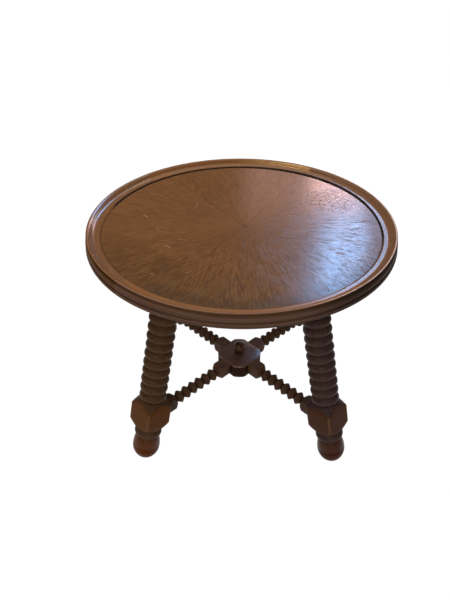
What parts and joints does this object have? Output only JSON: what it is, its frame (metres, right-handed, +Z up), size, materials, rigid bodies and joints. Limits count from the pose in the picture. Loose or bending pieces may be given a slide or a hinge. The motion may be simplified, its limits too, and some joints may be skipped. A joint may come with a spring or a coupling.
{
  "type": "round coffee table",
  "caption": "Round coffee table: sunburst-veneered top in a raised moulded rim, splayed ring-turned legs with square blocks and acorn feet, turned cross stretcher with a finial.",
  "frame": {"origin": "centre of the table's footprint, on the floor", "axes": "+Z up along the table's middle; the legs stand on the diagonals of X and Y; -Y faces the viewer"},
  "size_m": [0.66, 0.66, 0.5034],
  "materials": {
    "sunburst_veneer": "satin French-polished radial veneer with fine pores",
    "rim_wood": "satin polish, worn lighter along the lip",
    "core_board": "bare board",
    "bearer_wood": "planed, unpolished",
    "leg_wood": "dark stain, satin",
    "wedge_wood": "bare wood",
    "stretcher_wood": "dark stain, satin",
    "hub_wood": "dark stain, satin",
    "finial_wood": "dark stain, polished",
    "screw_steel": "plain steel"
  },
  "bodies": {
    "root": {"top_panel": "core_board", "veneer_leaf_01": "sunburst_veneer", "veneer_leaf_02": "sunburst_veneer", "veneer_leaf_03": "sunburst_veneer", "veneer_leaf_04": "sunburst_veneer", "veneer_leaf_05": "sunburst_veneer", "veneer_leaf_06": "sunburst_veneer", "veneer_leaf_07": "sunburst_veneer", "veneer_leaf_08": "sunburst_veneer", "veneer_leaf_09": "sunburst_veneer", "veneer_leaf_10": "sunburst_veneer", "veneer_leaf_11": "sunburst_veneer", "veneer_leaf_12": "sunburst_veneer", "veneer_leaf_13": "sunburst_veneer", "veneer_leaf_14": "sunburst_veneer", "veneer_leaf_15": "sunburst_veneer", "veneer_leaf_16": "sunburst_veneer", "rim_right": "rim_wood", "rim_back": "rim_wood", "rim_left": "rim_wood", "rim_front": "rim_wood", "bearer_lapped_under": "bearer_wood", "bearer_lapped_over": "bearer_wood", "bearer_screw_1": "screw_steel", "bearer_screw_2": "screw_steel", "bearer_screw_3": "screw_steel", "bearer_screw_4": "screw_steel", "bearer_screw_5": "screw_steel", "bearer_screw_6": "screw_steel", "bearer_screw_7": "screw_steel", "bearer_screw_8": "screw_steel", "leg_back_right": "leg_wood", "leg_wedge_back_right": "wedge_wood", "leg_back_left": "leg_wood", "leg_wedge_back_left": "wedge_wood", "leg_front_left": "leg_wood", "leg_wedge_front_left": "wedge_wood", "leg_front_right": "leg_wood", "leg_wedge_front_right": "wedge_wood", "stretcher_back_right": "stretcher_wood", "stretcher_back_left": "stretcher_wood", "stretcher_front_left": "stretcher_wood", "stretcher_front_right": "stretcher_wood", "stretcher_hub": "hub_wood", "hub_finial": "finial_wood"}
  },
  "joints": []
}
